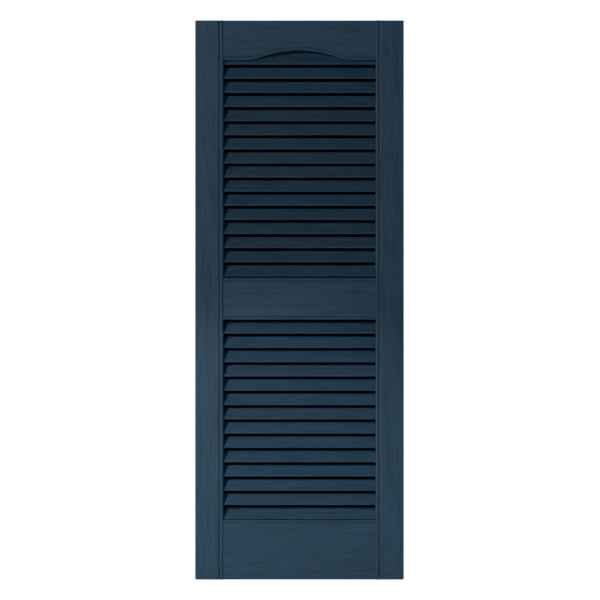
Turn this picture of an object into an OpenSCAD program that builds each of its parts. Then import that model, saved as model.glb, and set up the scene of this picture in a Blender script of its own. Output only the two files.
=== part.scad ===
// Exterior louvred shutter, moulded in one piece, open at the back.
// X runs to the right, Z up. The wall plane is y = 0 and the front faces -Y.
// The origin is the centre of the wall plane.

/* [Overall] */
// Width of the shutter
shutter_w = 368.3; // [320:0.1:480]
// Height of the shutter, without the bead ends
shutter_h = 987.4; // [820:0.1:1400]
// Depth from the wall plane to the faces of the stiles
face_d = 24.9; // [24.9:0.1:36]
// Rounding of the outer front edges and of the four corners
edge_r = 2.2; // [1:0.1:2.4]

/* [Stiles] */
// Width of the flat face of a stile
stile_face_w = 39.8; // [30:0.1:60]
// Width of the sloped side of the groove beside the bead
groove_run = 3.3; // [2:0.1:4]
// Depth of the groove below the stile face
groove_depth = 1.8; // [1:0.1:2.4]
// Radius of the half-round bead
bead_r = 3.5; // [3.3:0.1:4.5]
// Height of the bead above the stile face
bead_proud = 0.5; // [0.2:0.1:1]
// From the edge of the flat face to the middle of the bead
bead_offset = 6.5; // [6:0.1:6.5]
// From the middle of the bead to the louvre opening
bead_to_opening = 3.1; // [2.6:0.1:3.2]

/* [Rails] */
// How far the rail faces lie behind the stile faces
rail_recess = 1.5; // [0.8:0.1:1.8]
// Height of the top rail beside the arch
top_rail_h = 69.7; // [50:0.1:100]
// Height of the middle rail
mid_rail_h = 73.7; // [50:0.1:110]
// Height of the middle of the middle rail above the middle of the shutter
mid_rail_z = 2.05; // [-80:0.05:80]
// Height of the bottom rail
bottom_rail_h = 105.1; // [70:0.1:150]
// Radius of the bead along a rail edge
rail_bead_r = 2.9; // [2.7:0.1:3.2]
// Height of the rail bead above the rail face
rail_bead_proud = 0.3; // [0.1:0.1:0.6]
// From the rail edge to the middle of its bead
rail_bead_offset = 2.4; // [2:0.1:2.4]
// From the rail edge to the bottom of its groove
rail_groove_offset = 4.9; // [4.3:0.1:4.9]
// Width of the sloped side of the rail groove
rail_groove_run = 2.2; // [1.2:0.1:3]
// Depth of the rail groove below the rail face
rail_groove_depth = 1.3; // [0.8:0.1:1.5]

/* [Arch] */
// From the middle of the arch to where the rail edge runs level
arch_half_span = 97; // [90:0.5:110]
// Height of the arch above the level rail edge
arch_rise = 17.3; // [12:0.1:24]
// From the middle of the arch to where its curve turns from crown to shoulder
arch_turn_x = 67; // [50:0.1:80]

/* [Louvres] */
// Wanted distance from one louvre to the next
louvre_pitch = 25; // [24:0.1:32]
// Height of a louvre from the bottom of its nose to its top edge
louvre_rise = 20.2; // [17:0.1:20.4]
// Thickness of a louvre
louvre_t = 2.2; // [1.8:0.1:2.5]
// Slope of a louvre, away from upright, in degrees
louvre_slope = 41; // [35:0.5:41]
// Radius of the round nose of a louvre
nose_r = 1.5; // [1.3:0.1:2]
// How far the noses lie behind the stile faces
nose_recess = 4; // [3:0.1:4]
// From the level edge of the top rail down to the first nose
upper_head_gap = 8; // [5:0.1:10]
// From the last nose of the upper bank down to the middle rail
upper_sill_gap = 2.9; // [0.5:0.1:4]
// From the middle rail down to the first nose of the lower bank
lower_head_gap = 24.75; // [23:0.05:28]
// From the last nose of the lower bank down to the bottom rail
lower_sill_gap = 0.8; // [0.5:0.1:4]
// Extra height of the first louvre, which fills the arch
arch_louvre_extra = 3.8; // [2:0.1:3.8]
// How far the sill webs under the last louvres lie behind the stile faces
sill_web_recess = 11; // [6:0.1:14]

/* [Back] */
// Thickness of the walls
wall_t = 2.5; // [2:0.1:3]
// Thickness of the ribs
rib_t = 2; // [1.5:0.1:3]
// Number of ribs in each rail
rail_ribs = 5; // [3:1:7]
// Outer diameter of the fixing posts
post_d = 12; // [10:0.1:14]
// Diameter of the hole in a fixing post
post_hole_d = 6.5; // [5:0.1:8]
// From the side of the shutter to the middle of a post
post_side_inset = 20; // [15:0.5:25]
// From the end of the shutter to the middle of a post
post_end_inset = 133.7; // [120:0.1:200]

/* [Hidden] */
$fn = 48;
// Facets of the wide arcs of the arch
arc_fn = 360;
// How far cutters run past what they cut, and how far added solids run into their neighbours
over = 1;
// How far the face of a louvre lies inside the circle of its nose
nose_overlap = 0.03;
slate_blue = [0.15, 0.23, 0.29];

half_w = shutter_w / 2;
half_h = shutter_h / 2;
stile_w = stile_face_w + bead_offset + bead_to_opening;
opening_w = shutter_w - 2 * stile_w;
rail_face_d = face_d - rail_recess;

// Levels of the rail edges
head_z = half_h - top_rail_h;
crown_z = head_z + arch_rise;
mid_top_z = mid_rail_z + mid_rail_h / 2;
mid_bottom_z = mid_rail_z - mid_rail_h / 2;
foot_z = -half_h + bottom_rail_h;

// The arch is one crown arc between two shoulder arcs, which meet tangent at the turning points
arch_angle = 2 * atan(arch_rise / arch_half_span);
arch_crown_r = arch_turn_x / sin(arch_angle);
arch_shoulder_r = (arch_half_span - arch_turn_x) / sin(arch_angle);

// A vertical bank of louvres: the lowest nose, the number of louvres and their true pitch
upper_low_z = mid_top_z + upper_sill_gap;
upper_span = head_z - upper_head_gap - upper_low_z;
upper_count = round(upper_span / louvre_pitch) + 1;
upper_pitch = upper_span / (upper_count - 1);
lower_low_z = foot_z + lower_sill_gap;
lower_span = mid_bottom_z - lower_head_gap - lower_low_z;
lower_count = round(lower_span / louvre_pitch) + 1;
lower_pitch = lower_span / (lower_count - 1);

// The posts stand on the outermost of seven ribs in each stile
post_x = half_w - post_side_inset;
post_z = half_h - post_end_inset;
stile_ribs_each_way = 3;
stile_rib_pitch = post_z / stile_ribs_each_way;

// Stands a drawing of the front view (x, z) up, from the wall plane forward by depth
module front_view(depth) {
    rotate([90, 0, 0])
        linear_extrude(depth)
            children();
}

// Runs a drawing of the side section (y, z) along X, centred
module along_x(length) {
    translate([-length / 2, 0, 0])
        rotate([90, 0, 90])
            linear_extrude(length)
                children();
}

// Runs a drawing of the plan section (x, y) along Z, centred
module along_z(length) {
    translate([0, 0, -length / 2])
        linear_extrude(length)
            children();
}

module left_and_right() {
    children();
    mirror([1, 0, 0])
        children();
}

module top_and_bottom() {
    children();
    mirror([0, 0, 1])
        children();
}

// ---- Outer form ----

module rounded_outline() {
    square([shutter_w - 2 * edge_r, shutter_h], center = true);
    square([shutter_w, shutter_h - 2 * edge_r], center = true);
    for (x = [-1, 1], z = [-1, 1])
        translate([x * (half_w - edge_r), z * (half_h - edge_r)])
            circle(edge_r);
}

// Section that rounds an edge whose corner is at the origin, with the solid at +x, +y
module edge_rounding() {
    difference() {
        translate([-over, -over])
            square(edge_r + over);
        translate([edge_r, edge_r])
            circle(edge_r);
    }
}

module side_edge_rounding() {
    translate([-half_w, -face_d, 0])
        along_z(shutter_h + 2 * over)
            edge_rounding();
}

// Rounds a stretch of the top edge whose front face lies at depth d
module top_edge_rounding(d, length) {
    translate([0, -d, half_h])
        along_x(length)
            mirror([0, 1])
                edge_rounding();
}

// Plan section of the groove between the flat face and the bead, from the outer side inward
module stile_groove_section() {
    polygon([
        [stile_face_w, -face_d - over],
        [stile_face_w, -face_d],
        [stile_face_w + groove_run, -face_d + groove_depth],
        [stile_face_w + bead_offset, -face_d + groove_depth],
        [stile_face_w + bead_offset, -face_d - over]
    ]);
}

module slab() {
    groove_w = stile_face_w + bead_offset;
    inner_w = shutter_w - 2 * groove_w;
    difference() {
        front_view(face_d)
            rounded_outline();
        translate([0, -face_d, 0])
            cube([inner_w, 2 * rail_recess, shutter_h + 2 * over], center = true);
        left_and_right() {
            side_edge_rounding();
            translate([-half_w, 0, 0])
                along_z(shutter_h + 2 * over)
                    stile_groove_section();
        }
        top_and_bottom() {
            top_edge_rounding(rail_face_d, inner_w);
            left_and_right()
                translate([-half_w + groove_w / 2, 0, 0])
                    top_edge_rounding(face_d, groove_w);
        }
        rail_grooves();
    }
}

// ---- Beads and grooves ----

// The bead runs the whole height of a stile and turns back over both ends
module stile_bead() {
    bead_y = -face_d - bead_proud + bead_r;
    end_z = half_h + bead_proud - bead_r;
    translate([-half_w + stile_face_w + bead_offset, bead_y, 0]) {
        cylinder(r = bead_r, h = 2 * end_z, center = true);
        top_and_bottom()
            translate([0, 0, end_z]) {
                sphere(bead_r);
                rotate([-90, 0, 0])
                    cylinder(r = bead_r, h = -bead_y);
            }
    }
}

// Section of a rail groove: x is the distance from the rail edge, y is depth
module rail_groove_section() {
    polygon([
        [-over, -rail_face_d - over],
        [rail_groove_offset + rail_groove_run, -rail_face_d - over],
        [rail_groove_offset + rail_groove_run, -rail_face_d],
        [rail_groove_offset, -rail_face_d + rail_groove_depth],
        [-over, -rail_face_d + rail_groove_depth]
    ]);
}

module rail_bead_section() {
    translate([rail_bead_offset, -rail_face_d - rail_bead_proud + rail_bead_r])
        circle(rail_bead_r);
}

// Runs a section along a straight rail edge, with the rail above the edge at height z
module rail_edge(z, length) {
    translate([0, 0, z])
        along_x(length)
            mirror([1, -1])
                children();
}

// Runs a section along the crown arc
module crown_edge() {
    translate([0, 0, crown_z - arch_crown_r])
        rotate([90, 0, 0])
            rotate_extrude(angle = 2 * arch_angle, start = 90 - arch_angle, $fn = arc_fn)
                translate([arch_crown_r, 0])
                    arch_section()
                        children();
}

// Runs a section along the left shoulder arc, whose centre is above the rail edge
module shoulder_edge() {
    translate([-arch_half_span, 0, head_z + arch_shoulder_r])
        rotate([90, 0, 0])
            rotate_extrude(angle = arch_angle, start = -90, $fn = arc_fn)
                translate([arch_shoulder_r, 0])
                    mirror([1, 0])
                        arch_section()
                            children();
}

// Turns a section's depth to the height that rotate_extrude needs
module arch_section() {
    mirror([0, 1])
        children();
}

// The level parts of the top rail edge, from the arch to the stile beads
module head_edges() {
    reach = half_w - stile_face_w - bead_offset;
    length = reach - arch_half_span;
    left_and_right()
        translate([-arch_half_span - length / 2, 0, 0])
            rail_edge(head_z, length)
                children();
}

// Every rail edge that borders an opening
module all_rail_edges() {
    length = shutter_w - 2 * (stile_face_w + bead_offset);
    head_edges()
        children();
    crown_edge()
        children();
    left_and_right()
        shoulder_edge()
            children();
    rail_edge(mid_bottom_z, length)
        children();
    for (z = [mid_top_z, foot_z])
        mirror([0, 0, 1])
            rail_edge(-z, length)
                children();
}

module rail_grooves() {
    all_rail_edges()
        rail_groove_section();
}

module rail_beads() {
    all_rail_edges()
        rail_bead_section();
}

// ---- Openings ----

// Outline of the upper opening, grown by g on all sides but the sill
module upper_outline(g) {
    crown_r = arch_crown_r + g;
    shoulder_r = arch_shoulder_r - g;
    turn_x = crown_r * sin(arch_angle);
    turn_z = crown_z - arch_crown_r + crown_r * cos(arch_angle);
    half_opening = opening_w / 2 + g;
    translate([-half_opening, mid_top_z])
        square([2 * half_opening, head_z + g - mid_top_z]);
    difference() {
        polygon([
            [-arch_half_span, head_z - over],
            [arch_half_span, head_z - over],
            [arch_half_span, head_z + g],
            [turn_x, turn_z],
            [-turn_x, turn_z],
            [-arch_half_span, head_z + g]
        ]);
        for (side = [-1, 1])
            translate([side * arch_half_span, head_z + arch_shoulder_r])
                circle(shoulder_r, $fn = arc_fn);
    }
    intersection() {
        translate([0, crown_z - arch_crown_r])
            circle(crown_r, $fn = arc_fn);
        translate([-turn_x, turn_z])
            square([2 * turn_x, arch_rise + g]);
    }
}

module openings() {
    translate([0, over, 0])
        front_view(face_d + 2 * over)
            upper_outline(0);
    translate([0, over, 0])
        front_view(face_d + 2 * over)
            translate([-opening_w / 2, foot_z])
                square([opening_w, mid_bottom_z - foot_z]);
}

// ---- Hollow back ----

// Plan section of the hollow in a stile, which follows the face, the groove and the bead
module stile_hollow_section() {
    flat_y = -face_d + wall_t;
    bead_y = flat_y + groove_depth;
    polygon([
        [wall_t, over],
        [wall_t, flat_y],
        [stile_face_w - wall_t / 2, flat_y],
        [stile_face_w + groove_run - wall_t / 2, bead_y],
        [stile_w - wall_t, bead_y],
        [stile_w - wall_t, over]
    ]);
}

// One hollow between heights z0 and z1
module stile_bay(z0, z1) {
    translate([-half_w, 0, (z0 + z1) / 2])
        along_z(z1 - z0)
            stile_hollow_section();
}

module stile_hollows() {
    last_rib = stile_ribs_each_way;
    for (i = [-last_rib : last_rib - 1])
        stile_bay(i * stile_rib_pitch + rib_t / 2, (i + 1) * stile_rib_pitch - rib_t / 2);
    top_and_bottom()
        stile_bay(post_z + rib_t / 2, half_h - wall_t);
}

// Front view of the ribs in the rails
module rail_rib_outline() {
    spacing = opening_w / (rail_ribs + 1);
    for (i = [1 : rail_ribs])
        translate([-opening_w / 2 + i * spacing, 0])
            square([rib_t, shutter_h], center = true);
}

module rail_hollow_outline() {
    difference() {
        union() {
            translate([-opening_w / 2, head_z])
                square([opening_w, top_rail_h - wall_t]);
            translate([-opening_w / 2, mid_bottom_z + wall_t])
                square([opening_w, mid_rail_h - 2 * wall_t]);
            translate([-opening_w / 2, -half_h + wall_t])
                square([opening_w, bottom_rail_h - 2 * wall_t]);
        }
        upper_outline(wall_t);
        rail_rib_outline();
    }
}

module rail_hollows() {
    translate([0, over, 0])
        front_view(rail_face_d - wall_t + over)
            rail_hollow_outline();
}

// ---- Louvres ----

// Side section of a louvre: x is depth from the nose, y is height from the bottom of the nose.
// The face starts just inside the nose circle, so that the two cross and don't only touch.
module louvre_section(rise) {
    along = [sin(louvre_slope), cos(louvre_slope)];
    out = [-cos(louvre_slope), sin(louvre_slope)];
    nose = [nose_r, nose_r];
    face_low = nose + (nose_r - nose_overlap) * out;
    face_high = face_low + (rise - face_low[1]) / along[1] * along;
    translate(nose)
        circle(nose_r);
    polygon([
        face_low,
        face_high,
        face_high - louvre_t * out,
        face_low - louvre_t * out
    ]);
}

module louvre(z, rise) {
    translate([0, -face_d + nose_recess, z])
        along_x(opening_w + 2 * over)
            louvre_section(rise);
}

// The first louvre of the upper bank is higher and ends in the wall of the arch
module arch_louvre() {
    intersection() {
        louvre(head_z - upper_head_gap, louvre_rise + arch_louvre_extra);
        front_view(face_d)
            upper_outline(over);
    }
}

module louvres() {
    for (i = [0 : upper_count - 2])
        louvre(upper_low_z + i * upper_pitch, louvre_rise);
    for (i = [0 : lower_count - 1])
        louvre(lower_low_z + i * lower_pitch, louvre_rise);
    arch_louvre();
}

// Closes the space between a rail and the nose of the louvre above it
module sill_web(rail_z, nose_z) {
    // The web's front face meets the underside of the louvre and ends inside its thickness
    cover = (sill_web_recess - nose_recess) / tan(louvre_slope) + louvre_t;
    low_z = rail_z - wall_t;
    translate([-opening_w / 2 - over, -face_d + sill_web_recess, low_z])
        cube([opening_w + 2 * over, wall_t, nose_z + cover - low_z]);
}

// ---- Fixing posts ----

module at_posts() {
    left_and_right()
        top_and_bottom()
            translate([-post_x, 0, post_z])
                rotate([90, 0, 0])
                    children();
}

module posts() {
    at_posts()
        cylinder(d = post_d, h = face_d - wall_t + over);
}

module post_holes() {
    at_posts()
        translate([0, 0, -over])
            cylinder(d = post_hole_d, h = face_d - wall_t + over);
}

// ---- The shutter ----

module shell() {
    difference() {
        union() {
            slab();
            left_and_right()
                stile_bead();
            rail_beads();
        }
        openings();
        rail_hollows();
        left_and_right()
            stile_hollows();
    }
}

module shutter() {
    color(slate_blue)
        difference() {
            union() {
                shell();
                louvres();
                sill_web(mid_top_z, upper_low_z);
                sill_web(foot_z, lower_low_z);
                posts();
            }
            post_holes();
        }
}

shutter();
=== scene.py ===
"""Looks of the louvred shutter: one moulding in slate-blue plastic with an embossed wood grain.

Lengths are millimetres up to the finished mesh, which is scaled to metres. X runs to the right,
Z up, the wall plane is y = 0 and the front faces -Y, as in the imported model.
"""

import math

import bmesh
import bpy
import numpy as np
from mathutils import Matrix, Vector, noise


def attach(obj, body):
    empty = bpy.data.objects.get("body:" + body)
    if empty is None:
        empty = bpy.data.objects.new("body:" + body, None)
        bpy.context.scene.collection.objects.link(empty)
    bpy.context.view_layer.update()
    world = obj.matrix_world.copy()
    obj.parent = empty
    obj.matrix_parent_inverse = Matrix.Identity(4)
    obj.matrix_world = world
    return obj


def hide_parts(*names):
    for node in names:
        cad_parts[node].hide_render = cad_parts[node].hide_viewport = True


MM = 0.001

# ---- Sizes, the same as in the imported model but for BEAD_PROUD, there 0.5 ----
SHUTTER_W = 368.3
SHUTTER_H = 987.4
FACE_D = 24.9
EDGE_R = 2.2
HALF_W = SHUTTER_W / 2
HALF_H = SHUTTER_H / 2

STILE_FACE_W = 39.8
GROOVE_RUN = 3.3
GROOVE_DEPTH = 1.8
BEAD_R = 3.5
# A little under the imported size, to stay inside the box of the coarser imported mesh
BEAD_PROUD = 0.496
BEAD_OFFSET = 6.5
BEAD_TO_OPENING = 3.1
STILE_W = STILE_FACE_W + BEAD_OFFSET + BEAD_TO_OPENING
OPENING_W = SHUTTER_W - 2 * STILE_W

RAIL_D = FACE_D - 1.5
RAIL_BEAD_R = 2.9
RAIL_BEAD_PROUD = 0.3
RAIL_BEAD_OFFSET = 2.4
RAIL_GROOVE_OFFSET = 4.9
RAIL_GROOVE_RUN = 2.2
RAIL_GROOVE_DEPTH = 1.3

HEAD_Z = HALF_H - 69.7
MID_TOP_Z = 38.9
MID_BOTTOM_Z = -34.8
FOOT_Z = -HALF_H + 105.1

ARCH_HALF_SPAN = 97
ARCH_RISE = 17.3
ARCH_TURN_X = 67
ARCH_ANGLE = 2 * math.atan(ARCH_RISE / ARCH_HALF_SPAN)
CROWN_R = ARCH_TURN_X / math.sin(ARCH_ANGLE)
SHOULDER_R = (ARCH_HALF_SPAN - ARCH_TURN_X) / math.sin(ARCH_ANGLE)
CROWN_Z = HEAD_Z + ARCH_RISE

LOUVRE_RISE = 20.2
ARCH_LOUVRE_RISE = 24
LOUVRE_T = 2.2
LOUVRE_SLOPE = math.radians(41)
NOSE_R = 1.5
NOSE_INSET = 0.03
NOSE_Y = -FACE_D + 4
UPPER_NOSES = np.linspace(MID_TOP_Z + 2.9, HEAD_Z - 8, 16)
LOWER_NOSES = np.linspace(FOOT_Z + 0.8, MID_BOTTOM_Z - 24.75, 14)
SILL_WEB_Y = -FACE_D + 11

WALL_T = 2.5
RIB_T = 2
RAIL_RIBS = 5
POST_X = HALF_W - 20
POST_Z = HALF_H - 133.7
POST_R = 6
POST_HOLE_R = 3.25
STILE_RIBS_EACH_WAY = 3
OVER = 1

# ---- Mesh density and grain relief ----
ACROSS_GRAIN = 0.95
ALONG_GRAIN = 7
GRAIN_RELIEF = 0.2
GRAIN_FADE = 1.5

# ---- Black strips behind the slits: painted shade seen between the louvres ----
STRIP_REACH = OPENING_W / 2 + 2
STRIP_Y = (-1.2, -0.4)
STRIP_BELOW = 6
STRIP_ABOVE = 3

# ---- Finish ----
SLATE_BLUE = (0.0280, 0.0745, 0.1230)
DARK_STREAK = 0.78
LIGHT_STREAK = 1.14
SQUEEZE_ALONG_GRAIN = 0.06
GRAIN_SWAY = 0.05
SHARP_ANGLE = math.radians(24)
WELD_DISTANCE = 0.004

# ---- Stage and camera ----
WORLD_LIGHT = 0.04
FLOOR_Z = -0.4945
FLOOR_SIZE = 40
CAMERA_DISTANCE = 5.0
SEEN_WIDTH = 1.0593
CAMERA_SHIFT_X = 0.0009
SENSOR_W = 36
SPOT_SOURCE_R = 0.05


def steps(start, end, spacing):
    """Evenly spaced values from start to end, about spacing apart."""
    count = max(1, round(abs(end - start) / spacing))
    return np.linspace(start, end, count + 1)


def arc(centre, radius, first, last, count):
    """Points of an arc in a section drawing, between two angles in degrees."""
    angles = np.radians(np.linspace(first, last, count + 1))
    return [(centre[0] + radius * math.cos(a), centre[1] + radius * math.sin(a)) for a in angles]


# ---- Embossed wood grain ----


def grain_at(along, across, seed):
    """Relief of the grain at one point, from 0 on the crests to 1 in the valleys."""
    sway = 5 * noise.noise(Vector((along / 140, across / 60, seed)))
    streak = noise.noise(Vector((along / 60, (across + sway) / 2.6, seed + 3)))
    fine = noise.noise(Vector((along / 26, (across + sway) / 1.5, seed + 9)))
    return min(1, max(0, 0.5 + 0.75 * streak + 0.3 * fine))


def fade(distance):
    """0 at the border of a face and 1 from GRAIN_FADE inward, so that the border stays true."""
    return min(1, max(0, distance / GRAIN_FADE))


# ---- Closed solids ----


def grid_solid(rings):
    """Closed mesh through rings of points: each ring is closed, and the end rings are capped."""
    bm = bmesh.new()
    rows = [[bm.verts.new(point) for point in ring] for ring in rings]
    size = len(rows[0])
    for near, far in zip(rows, rows[1:]):
        for i in range(size):
            k = (i + 1) % size
            bm.faces.new((near[i], near[k], far[k], far[i]))
    bm.faces.new(reversed(rows[0]))
    bm.faces.new(rows[-1])
    return bm


def merged_object(name, solids):
    """One object from separate closed solids, with every normal facing outward."""
    mesh = bpy.data.meshes.new(name)
    whole = bmesh.new()
    for solid in solids:
        bmesh.ops.recalc_face_normals(solid, faces=solid.faces)
        part = bpy.data.meshes.new("part")
        solid.to_mesh(part)
        solid.free()
        whole.from_mesh(part)
        bpy.data.meshes.remove(part)
    whole.to_mesh(mesh)
    whole.free()
    obj = bpy.data.objects.new(name, mesh)
    bpy.context.scene.collection.objects.link(obj)
    return obj


def box_solid(x_range, y_range, z_range):
    rings = []
    for x in x_range:
        corners = [(0, 0), (1, 0), (1, 1), (0, 1)]
        rings.append([(x, y_range[i], z_range[k]) for i, k in corners])
    return grid_solid(rings)


# ---- Stiles ----


def stile_section():
    """Plan section (distance from the outer side, y) from the back outer corner round the front."""
    face = [(x, -FACE_D) for x in steps(EDGE_R, STILE_FACE_W, ACROSS_GRAIN)]
    floor_y = -FACE_D + GROOVE_DEPTH
    floor = [(x, floor_y) for x in (STILE_FACE_W + GROOVE_RUN, STILE_FACE_W + BEAD_OFFSET, STILE_W)]
    side = [(0, y) for y in steps(0, -FACE_D + EDGE_R, 6)[:-1]]
    return side + arc((EDGE_R, -FACE_D + EDGE_R), EDGE_R, 180, 270, 7)[:-1] + face + floor + [(STILE_W, 0)]


def end_levels():
    """Heights of a stile's rings with how far each is drawn in by the rounding of the ends."""
    rounding = [(HALF_H - EDGE_R + EDGE_R * math.sin(a), EDGE_R * (1 - math.cos(a)))
                for a in np.radians(np.linspace(0, 90, 7))]
    middle = steps(-HALF_H + EDGE_R, HALF_H - EDGE_R, ALONG_GRAIN)[1:-1]
    low = [(-z, inset) for z, inset in reversed(rounding)]
    return low + [(z, 0) for z in middle] + rounding


def stile_solid(side):
    """side is -1 for the left stile and 1 for the right one."""
    rings = []
    for z, inset in end_levels():
        ring = []
        for u, y in stile_section():
            if EDGE_R < u < STILE_FACE_W and y == -FACE_D:
                weight = fade(min(u - EDGE_R, STILE_FACE_W - u))
                y += GRAIN_RELIEF * weight * grain_at(z, side * u, 20 + side)
            y = max(y, -FACE_D + inset)
            u = max(u, inset)
            ring.append((side * (HALF_W - u), y, z))
        rings.append(ring)
    return grid_solid(rings)


def turned_solid(centre_x, profile, count):
    """A profile (radius, height) turned round the bead's axis, closed at both ends."""
    bead_y = -FACE_D - BEAD_PROUD + BEAD_R
    rings = []
    for i in range(count):
        angle = 2 * math.pi * i / count
        rings.append([(centre_x + r * math.cos(angle), bead_y + r * math.sin(angle), z)
                      for r, z in profile])
    columns = list(zip(*rings))
    return grid_solid([list(column) for column in columns])


def bead_solid(side):
    """The half-round bead that runs the whole height of a stile, with rounded ends."""
    end_z = HALF_H + BEAD_PROUD - BEAD_R
    cap = [(BEAD_R * math.cos(a), end_z + BEAD_R * math.sin(a))
           for a in np.radians(np.linspace(0, 86, 9))]
    low_cap = [(r, -z) for r, z in reversed(cap)]
    middle = [(BEAD_R, z) for z in steps(-end_z, end_z, 40)[1:-1]]
    return turned_solid(side * (HALF_W - STILE_FACE_W - BEAD_OFFSET), low_cap + middle + cap, 40)


def bead_return_solid(side, end):
    """The bead's way back over an end of the stile, a cylinder along Y."""
    centre_x = side * (HALF_W - STILE_FACE_W - BEAD_OFFSET)
    centre_z = end * (HALF_H + BEAD_PROUD - BEAD_R)
    bead_y = -FACE_D - BEAD_PROUD + BEAD_R
    rings = []
    for y in (bead_y, 0):
        rings.append([(centre_x + BEAD_R * math.cos(a), y, centre_z + BEAD_R * math.sin(a))
                      for a in np.linspace(0, 2 * math.pi, 40, endpoint=False)])
    return grid_solid(rings)


# ---- Rails ----


def rail_edge_profile():
    """(distance from the rail edge, y) over the bead and the groove up to the rail face."""
    centre_y = -RAIL_D - RAIL_BEAD_PROUD + RAIL_BEAD_R
    first = -math.asin(RAIL_BEAD_OFFSET / RAIL_BEAD_R)
    last = math.radians(63)
    points = []
    for angle in np.linspace(first, last, 14):
        d = RAIL_BEAD_OFFSET + RAIL_BEAD_R * math.sin(angle)
        points.append((d, centre_y - RAIL_BEAD_R * math.cos(angle)))
    slope = [(RAIL_GROOVE_OFFSET + t * RAIL_GROOVE_RUN, -RAIL_D + (1 - t) * RAIL_GROOVE_DEPTH)
             for t in (0.04, 0.5, 1)]
    return points + slope


def arch_z(x, grow):
    """Height of the top rail's edge at x, for an opening that is grown by grow."""
    x = abs(x)
    if x <= (CROWN_R + grow) * math.sin(ARCH_ANGLE):
        return CROWN_Z - CROWN_R + math.sqrt((CROWN_R + grow) ** 2 - x * x)
    if x <= ARCH_HALF_SPAN:
        return HEAD_Z + SHOULDER_R - math.sqrt((SHOULDER_R - grow) ** 2 - (ARCH_HALF_SPAN - x) ** 2)
    return HEAD_Z + grow


def outer_rounding(face_y):
    """(distance below the shutter's end, y) over the rounded outer edge of a rail."""
    return [(EDGE_R * (1 - math.sin(a)), face_y + EDGE_R * (1 - math.cos(a)))
            for a in np.radians(np.linspace(0, 90, 7))]


def rail_ring(x, low_edge, high_edge, row_count_span, seed):
    """One side section (y, z) of a rail at x. An edge is a function of the distance from it."""
    profile = rail_edge_profile()
    low = [(y, low_edge(d)) for d, y in profile]
    if high_edge is None:
        high = [(y, HALF_H - d) for d, y in outer_rounding(-RAIL_D)]
    else:
        high = [(y, high_edge(d)) for d, y in reversed(profile)]
    z0 = low[-1][1]
    z1 = high[0][1]
    count = max(1, round(row_count_span / ACROSS_GRAIN))
    middle = []
    for z in np.linspace(z0, z1, count + 1)[1:-1]:
        weight = fade(min(z - z0, z1 - z))
        middle.append((-RAIL_D + GRAIN_RELIEF * weight * grain_at(x, z, seed), z))
    return [(0, low_edge(0))] + low + middle + high + [(0, high[-1][1])]


def rail_xs():
    reach = OPENING_W / 2 + OVER
    return steps(-reach, reach, ALONG_GRAIN * 0.7)


def top_rail_solid():
    rings = []
    for x in rail_xs():
        ring = rail_ring(x, lambda d: arch_z(x, d), None, 60, 31)
        rings.append([(x, y, z) for y, z in ring])
    return grid_solid(rings)


def middle_rail_solid():
    rings = []
    for x in rail_xs():
        ring = rail_ring(x, lambda d: MID_BOTTOM_Z + d, lambda d: MID_TOP_Z - d, 60, 37)
        rings.append([(x, y, z) for y, z in ring])
    return grid_solid(rings)


def bottom_rail_solid():
    """Built upside down, with its outer edge at the top, and then turned over in Z."""
    rings = []
    for x in rail_xs():
        ring = rail_ring(x, lambda d: -FOOT_Z + d, None, 96, 43)
        rings.append([(x, y, -z) for y, z in ring])
    return grid_solid(rings)


# ---- Louvres ----


def louvre_ring(x, nose_z, rise, seed):
    """Section (y, z) of a louvre: round nose, face with grain, square top edge, underside."""
    along = (math.sin(LOUVRE_SLOPE), math.cos(LOUVRE_SLOPE))
    out = (-math.cos(LOUVRE_SLOPE), math.sin(LOUVRE_SLOPE))
    nose = (NOSE_Y + NOSE_R, nose_z + NOSE_R)
    face_out = NOSE_R - NOSE_INSET
    back_out = face_out - LOUVRE_T
    face_start = math.sqrt(NOSE_R ** 2 - face_out ** 2)
    face_end = (rise - NOSE_R - face_out * out[1]) / along[1]
    back_start = math.sqrt(NOSE_R ** 2 - back_out ** 2)

    def place(a, o):
        return (nose[0] + a * along[0] + o * out[0], nose[1] + a * along[1] + o * out[1])

    first = -math.asin(face_start / NOSE_R)
    last = 2 * math.pi - math.acos(back_out / NOSE_R)
    ring = [place(-NOSE_R * math.sin(b), NOSE_R * math.cos(b)) for b in np.linspace(last, first, 15)]
    for a in steps(face_start, face_end, ACROSS_GRAIN)[1:]:
        weight = fade(min(a - face_start, face_end - a))
        relief = GRAIN_RELIEF * weight * grain_at(x, a, seed)
        ring.append(place(a, face_out - relief))
    for a in steps(face_end, back_start, 6)[:-1]:
        ring.append(place(a, back_out))
    return ring


def louvre_solid(nose_z, rise, seed):
    reach = OPENING_W / 2 + OVER
    rings = []
    for x in steps(-reach, reach, ALONG_GRAIN):
        rings.append([(x, y, z) for y, z in louvre_ring(x, nose_z, rise, seed)])
    return grid_solid(rings)


def all_noses():
    return list(UPPER_NOSES[:-1]) + list(LOWER_NOSES)


# ---- Openings, hollow back and fixing posts ----


def arch_prism(xs, low_z, grow, y_range):
    """A solid between a level and the arch edge grown by grow."""
    rings = []
    for x in xs:
        high_z = arch_z(x, grow)
        rings.append([(x, y_range[0], low_z), (x, y_range[1], low_z),
                      (x, y_range[1], high_z), (x, y_range[0], high_z)])
    return grid_solid(rings)


def opening_solids():
    half = OPENING_W / 2
    deep = (-FACE_D - 2 * OVER, OVER)
    upper = arch_prism(steps(-half, half, 3), MID_TOP_Z, 0, deep)
    lower = box_solid((-half, half), deep, (FOOT_Z, MID_BOTTOM_Z))
    return [upper, lower]


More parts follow.
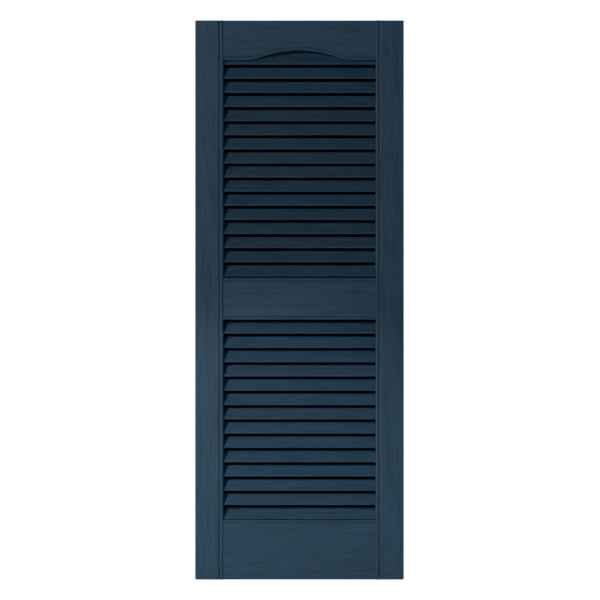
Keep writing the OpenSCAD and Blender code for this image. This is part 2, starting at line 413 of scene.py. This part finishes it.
def stile_bay_solid(side, z0, z1):
    flat_y = -FACE_D + WALL_T
    bead_y = flat_y + GROOVE_DEPTH
    section = [
        (WALL_T, OVER), (WALL_T, flat_y), (STILE_FACE_W - WALL_T / 2, flat_y),
        (STILE_FACE_W + GROOVE_RUN - WALL_T / 2, bead_y), (STILE_W - WALL_T, bead_y),
        (STILE_W - WALL_T, OVER),
    ]
    rings = [[(side * (HALF_W - u), y, z) for u, y in section] for z in (z0, z1)]
    return grid_solid(rings)


def stile_bays():
    pitch = POST_Z / STILE_RIBS_EACH_WAY
    levels = [i * pitch for i in range(-STILE_RIBS_EACH_WAY, STILE_RIBS_EACH_WAY + 1)]
    spans = [(a + RIB_T / 2, b - RIB_T / 2) for a, b in zip(levels, levels[1:])]
    spans.append((POST_Z + RIB_T / 2, HALF_H - WALL_T))
    spans.append((-HALF_H + WALL_T, -POST_Z - RIB_T / 2))
    return [stile_bay_solid(side, a, b) for side in (-1, 1) for a, b in spans]


def rail_bays():
    spacing = OPENING_W / (RAIL_RIBS + 1)
    edges = [-OPENING_W / 2 + i * spacing for i in range(RAIL_RIBS + 2)]
    deep = (-RAIL_D + WALL_T, OVER)
    bays = []
    for i, (a, b) in enumerate(zip(edges, edges[1:])):
        x0 = a if i == 0 else a + RIB_T / 2
        x1 = b if i == RAIL_RIBS else b - RIB_T / 2
        bays.append(box_solid((x0, x1), deep, (MID_BOTTOM_Z + WALL_T, MID_TOP_Z - WALL_T)))
        bays.append(box_solid((x0, x1), deep, (-HALF_H + WALL_T, FOOT_Z - WALL_T)))
        rings = []
        for x in steps(x0, x1, 4):
            low = arch_z(x, WALL_T)
            high = HALF_H - WALL_T
            rings.append([(x, deep[0], low), (x, deep[1], low), (x, deep[1], high), (x, deep[0], high)])
        bays.append(grid_solid(rings))
    return bays


def sill_web_solid(rail_z, nose_z):
    """Closes the space between a rail and the nose of the louvre above it."""
    cover = (SILL_WEB_Y - NOSE_Y) / math.tan(LOUVRE_SLOPE) + LOUVRE_T
    reach = OPENING_W / 2 + OVER
    return box_solid((-reach, reach), (SILL_WEB_Y, SILL_WEB_Y + WALL_T), (rail_z - WALL_T, nose_z + cover))


def post_solid(radius, y_range, side, end):
    rings = []
    for y in y_range:
        rings.append([(side * POST_X + radius * math.cos(a), y, end * POST_Z + radius * math.sin(a))
                      for a in np.linspace(0, 2 * math.pi, 48, endpoint=False)])
    return grid_solid(rings)


# ---- The moulding ----


def combine(target, operation, tool):
    modifier = target.modifiers.new(tool.name, "BOOLEAN")
    modifier.operation = operation
    modifier.solver = "MANIFOLD"
    modifier.object = tool
    tool.hide_render = True


def apply_all(obj):
    """Puts the result of the object's modifiers in its mesh."""
    graph = bpy.context.evaluated_depsgraph_get()
    mesh = bpy.data.meshes.new_from_object(obj.evaluated_get(graph))
    obj.modifiers.clear()
    obj.data = mesh


def remove(tools):
    for tool in tools:
        bpy.data.objects.remove(tool)


def make_moulding():
    both = (-1, 1)
    corners = [(side, end) for side in both for end in both]
    moulding = merged_object("shutter_moulding", [stile_solid(side) for side in both])
    rails = merged_object("rails", [top_rail_solid(), middle_rail_solid(), bottom_rail_solid()])
    beads = merged_object("beads", [bead_solid(side) for side in both])
    returns = merged_object("returns", [bead_return_solid(side, end) for side, end in corners])
    openings = merged_object("openings", opening_solids())
    bays = merged_object("bays", stile_bays() + rail_bays())
    louvres = merged_object("louvres", [louvre_solid(z, LOUVRE_RISE, i) for i, z in enumerate(all_noses())])
    arch_louvre = merged_object("arch_louvre", [louvre_solid(UPPER_NOSES[-1], ARCH_LOUVRE_RISE, 50)])
    reach = OPENING_W / 2 + 2 * OVER
    arch_room = merged_object(
        "arch_room", [arch_prism(steps(-reach, reach, 3), MID_TOP_Z, OVER, (-FACE_D, 0))])
    webs = merged_object(
        "webs", [sill_web_solid(MID_TOP_Z, UPPER_NOSES[0]), sill_web_solid(FOOT_Z, LOWER_NOSES[0])])
    posts = merged_object(
        "posts", [post_solid(POST_R, (-FACE_D + WALL_T - OVER, 0), *corner) for corner in corners])
    holes = merged_object(
        "holes", [post_solid(POST_HOLE_R, (-FACE_D + WALL_T, OVER), *corner) for corner in corners])

    combine(arch_louvre, "INTERSECT", arch_room)
    apply_all(arch_louvre)
    for tool in (rails, beads, returns):
        combine(moulding, "UNION", tool)
    for tool in (openings, bays):
        combine(moulding, "DIFFERENCE", tool)
    for tool in (louvres, arch_louvre, webs, posts):
        combine(moulding, "UNION", tool)
    combine(moulding, "DIFFERENCE", holes)
    apply_all(moulding)
    remove([rails, beads, returns, openings, bays, louvres, arch_louvre, arch_room, webs, posts, holes])
    return moulding


def finish_mesh(obj):
    """Welds the mesh, scales it to metres and smooths it over gentle angles."""
    bm = bmesh.new()
    bm.from_mesh(obj.data)
    bmesh.ops.remove_doubles(bm, verts=bm.verts, dist=WELD_DISTANCE)
    bmesh.ops.dissolve_degenerate(bm, edges=bm.edges, dist=WELD_DISTANCE)
    bmesh.ops.scale(bm, vec=(MM, MM, MM), verts=bm.verts)
    bm.to_mesh(obj.data)
    bm.free()
    obj.data.shade_smooth()
    obj.data.set_sharp_from_angle(angle=SHARP_ANGLE)


# ---- Material ----


def plastic_material():
    """Slate-blue plastic whose grain runs up the stiles and along the rails and louvres."""
    material = bpy.data.materials.new("slate_blue_plastic")
    material.use_nodes = True
    nodes = material.node_tree.nodes
    links = material.node_tree.links
    shader = nodes["Principled BSDF"]

    def node(kind, **values):
        made = nodes.new(kind)
        for key, value in values.items():
            setattr(made, key, value)
        return made

    def math_node(operation, a, b):
        made = node("ShaderNodeMath", operation=operation)
        for socket, value in zip(made.inputs, (a, b)):
            if isinstance(value, (int, float)):
                socket.default_value = value
            else:
                links.new(value, socket)
        return made.outputs[0]

    def vector_node(x, y, z):
        made = node("ShaderNodeCombineXYZ")
        for socket, value in zip(made.inputs, (x, y, z)):
            links.new(value, socket)
        return made.outputs[0]

    def noise_node(vector, scale, detail, distortion=0):
        made = node("ShaderNodeTexNoise")
        links.new(vector, made.inputs["Vector"])
        made.inputs["Scale"].default_value = scale
        made.inputs["Detail"].default_value = detail
        made.inputs["Distortion"].default_value = distortion
        return made.outputs["Fac"]

    place = node("ShaderNodeTexCoord").outputs["Object"]
    split = node("ShaderNodeSeparateXYZ")
    links.new(place, split.inputs[0])
    x, y, z = split.outputs

    # Coordinates that are squeezed along the grain and sway across it
    sway = math_node("MULTIPLY", math_node("SUBTRACT", noise_node(place, 5, 1), 0.5), GRAIN_SWAY)
    level = vector_node(math_node("MULTIPLY", x, SQUEEZE_ALONG_GRAIN), y, math_node("ADD", z, sway))
    upright = vector_node(math_node("ADD", x, sway), y, math_node("MULTIPLY", z, SQUEEZE_ALONG_GRAIN))
    on_stile = math_node("GREATER_THAN", math_node("ABSOLUTE", x, 0), (HALF_W - STILE_W) * MM)
    choice = node("ShaderNodeMix", data_type="VECTOR")
    links.new(on_stile, choice.inputs["Factor"])
    links.new(level, choice.inputs[4])
    links.new(upright, choice.inputs[5])
    along = choice.outputs[1]

    broad_streaks = noise_node(along, 150, 2, 0.3)
    streaks = noise_node(along, 430, 3, 0.4)
    fine_streaks = noise_node(along, 1300, 4)
    cloud = noise_node(place, 9, 3)
    stipple = noise_node(place, 2600, 2)

    fine_tone = math_node("MULTIPLY", streaks, 0.5)
    broad_tone = math_node("MULTIPLY", broad_streaks, 0.4)
    streak_tone = math_node("ADD", fine_tone, broad_tone)
    tone = math_node("ADD", streak_tone, math_node("MULTIPLY", cloud, 0.1))
    ramp = node("ShaderNodeValToRGB")
    stops = ramp.color_ramp.elements
    stops[0].position = 0.37
    stops[0].color = (*[DARK_STREAK * c for c in SLATE_BLUE], 1)
    stops[1].position = 0.64
    stops[1].color = (*[LIGHT_STREAK * c for c in SLATE_BLUE], 1)
    middle = stops.new(0.50)
    middle.color = (*SLATE_BLUE, 1)
    links.new(tone, ramp.inputs["Fac"])
    links.new(ramp.outputs["Color"], shader.inputs["Base Color"])

    rough = math_node("ADD", math_node("MULTIPLY", fine_streaks, 0.16), 0.40)
    links.new(rough, shader.inputs["Roughness"])

    relief = math_node("ADD", math_node("MULTIPLY", fine_streaks, 0.8), math_node("MULTIPLY", stipple, 0.2))
    bump = node("ShaderNodeBump")
    bump.inputs["Strength"].default_value = 0.6
    bump.inputs["Distance"].default_value = 0.12 * MM
    links.new(relief, bump.inputs["Height"])
    links.new(bump.outputs["Normal"], shader.inputs["Normal"])
    shader.inputs["IOR"].default_value = 1.49
    shader.inputs["Specular IOR Level"].default_value = 0.25
    return material


# ---- Stage, light and camera ----


def make_floor():
    """A plain floor, even white where the camera sees it and matt where light bounces off it."""
    bpy.ops.mesh.primitive_plane_add(size=FLOOR_SIZE, location=(0, 0, FLOOR_Z))
    floor = bpy.context.object
    floor.name = "floor"
    material = bpy.data.materials.new("pale_floor")
    material.use_nodes = True
    nodes = material.node_tree.nodes
    links = material.node_tree.links
    nodes.clear()
    output = nodes.new("ShaderNodeOutputMaterial")
    mix = nodes.new("ShaderNodeMixShader")
    glow = nodes.new("ShaderNodeEmission")
    glow.inputs["Color"].default_value = (1, 1, 1, 1)
    matt = nodes.new("ShaderNodeBsdfDiffuse")
    seen = nodes.new("ShaderNodeLightPath").outputs["Is Camera Ray"]
    links.new(seen, mix.inputs["Fac"])
    links.new(matt.outputs[0], mix.inputs[1])
    links.new(glow.outputs[0], mix.inputs[2])
    links.new(mix.outputs[0], output.inputs["Surface"])
    floor.data.materials.append(material)


def make_painted_shade_strips():
    """Black strips close behind the slits: painted shade, a near-black sheet for the dark seen between the
    louvres and under the rails.
    """
    strips = []
    for nose_z in all_noses() + [UPPER_NOSES[-1], MID_BOTTOM_Z, CROWN_Z]:
        heights = (nose_z - STRIP_BELOW, nose_z + STRIP_ABOVE)
        strips.append(box_solid((-STRIP_REACH, STRIP_REACH), STRIP_Y, heights))
    shade_sheet = merged_object("painted_shade_strips", strips)
    shade_sheet.data.transform(Matrix.Scale(MM, 4))
    material = bpy.data.materials.new("painted_shade_strips")
    material.use_nodes = True
    shader = material.node_tree.nodes["Principled BSDF"]
    # Near black: the painted shade that shows through the slits
    shader.inputs["Base Color"].default_value = (0.002, 0.002, 0.002, 1)
    shader.inputs["Roughness"].default_value = 1
    shader.inputs["Specular IOR Level"].default_value = 0
    shade_sheet.data.materials.append(material)


def place_light(name, data, place, aim):
    light = bpy.data.objects.new(name, data)
    light.location = place
    light.rotation_euler = (Vector(aim) - Vector(place)).to_track_quat("-Z", "Y").to_euler()
    bpy.context.scene.collection.objects.link(light)


def area_light(name, place, aim, width, height, power):
    data = bpy.data.lights.new(name, "AREA")
    data.shape = "RECTANGLE"
    data.size = width
    data.size_y = height
    data.energy = power
    place_light(name, data, place, aim)


def spot_light(name, place, aim, cone, softness, power):
    data = bpy.data.lights.new(name, "SPOT")
    data.energy = power
    data.spot_size = math.radians(cone)
    data.spot_blend = softness
    data.shadow_soft_size = SPOT_SOURCE_R
    place_light(name, data, place, aim)


def make_lights():
    """A crisp key from the left, weak fills, and spots for the upper stiles and the lower bank.

    Places are in metres. The back softboxes stand behind the shutter, for the views from there.
    """
    area_light("key", (-1.235, -2.2, 1.0), (0, 0, 0.5), 0.15, 0.15, 18)
    area_light("left_strip", (-1.2, -1.7, 0.2), (0, 0, 0.2), 0.12, 0.4, 2)
    area_light("right_softbox", (1.6, -1.6, 0.1), (0, 0, 0.1), 1.0, 1.2, 0.8)
    area_light("back_softbox", (0.6, 2.8, 1.0), (0, 0, 0), 1.6, 1.6, 36)
    area_light("back_left_softbox", (-2.4, 0.8, 0.6), (0, 0, 0), 1.0, 1.0, 14)
    area_light("back_right_softbox", (2.4, 0.8, 0.6), (0, 0, 0), 1.0, 1.0, 14)
    spot_light("upper_spot", (-0.9, -1.5, -0.4), (0, 0, 0.3), 30, 1.0, 10)
    spot_light("lower_spot", (-0.785, -1.3, 0.15), (0, 0, -0.45), 22, 0.35, 7)
    spot_light("lower_wide_spot", (-0.785, -1.3, 0.3), (0, 0, -0.42), 30, 0.5, 28)


def make_world():
    """Even white where the camera sees it, and a weaker glow as light."""
    world = bpy.data.worlds.new("studio")
    bpy.context.scene.world = world
    world.use_nodes = True
    nodes = world.node_tree.nodes
    links = world.node_tree.links
    background = nodes["Background"]
    strength = nodes.new("ShaderNodeMix")
    links.new(nodes.new("ShaderNodeLightPath").outputs["Is Camera Ray"], strength.inputs["Factor"])
    strength.inputs[2].default_value = WORLD_LIGHT
    strength.inputs[3].default_value = 1
    links.new(strength.outputs[0], background.inputs["Strength"])
    background.inputs["Color"].default_value = (1, 1, 1, 1)


def make_camera():
    """Straight ahead at mid height, 5 m from the faces of the stiles."""
    data = bpy.data.cameras.new("camera")
    data.sensor_width = SENSOR_W
    data.lens = SENSOR_W * CAMERA_DISTANCE / SEEN_WIDTH
    camera = bpy.data.objects.new("camera", data)
    camera.location = (CAMERA_SHIFT_X, -CAMERA_DISTANCE - FACE_D * MM, 0)
    camera.rotation_euler = (math.pi / 2, 0, 0)
    bpy.context.scene.collection.objects.link(camera)
    bpy.context.scene.camera = camera


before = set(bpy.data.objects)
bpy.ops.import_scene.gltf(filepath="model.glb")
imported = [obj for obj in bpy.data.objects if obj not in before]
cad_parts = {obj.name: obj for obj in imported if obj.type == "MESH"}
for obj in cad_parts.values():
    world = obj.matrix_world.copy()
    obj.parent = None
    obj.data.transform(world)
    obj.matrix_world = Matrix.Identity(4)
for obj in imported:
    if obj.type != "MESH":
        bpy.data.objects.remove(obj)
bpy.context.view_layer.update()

moulding = make_moulding()
finish_mesh(moulding)
moulding.data.materials.clear()
moulding.data.materials.append(plastic_material())
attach(moulding, "root")
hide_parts("shutter")

make_floor()
make_painted_shade_strips()
make_world()
make_camera()
make_lights()
bpy.context.scene.view_settings.view_transform = "Standard"
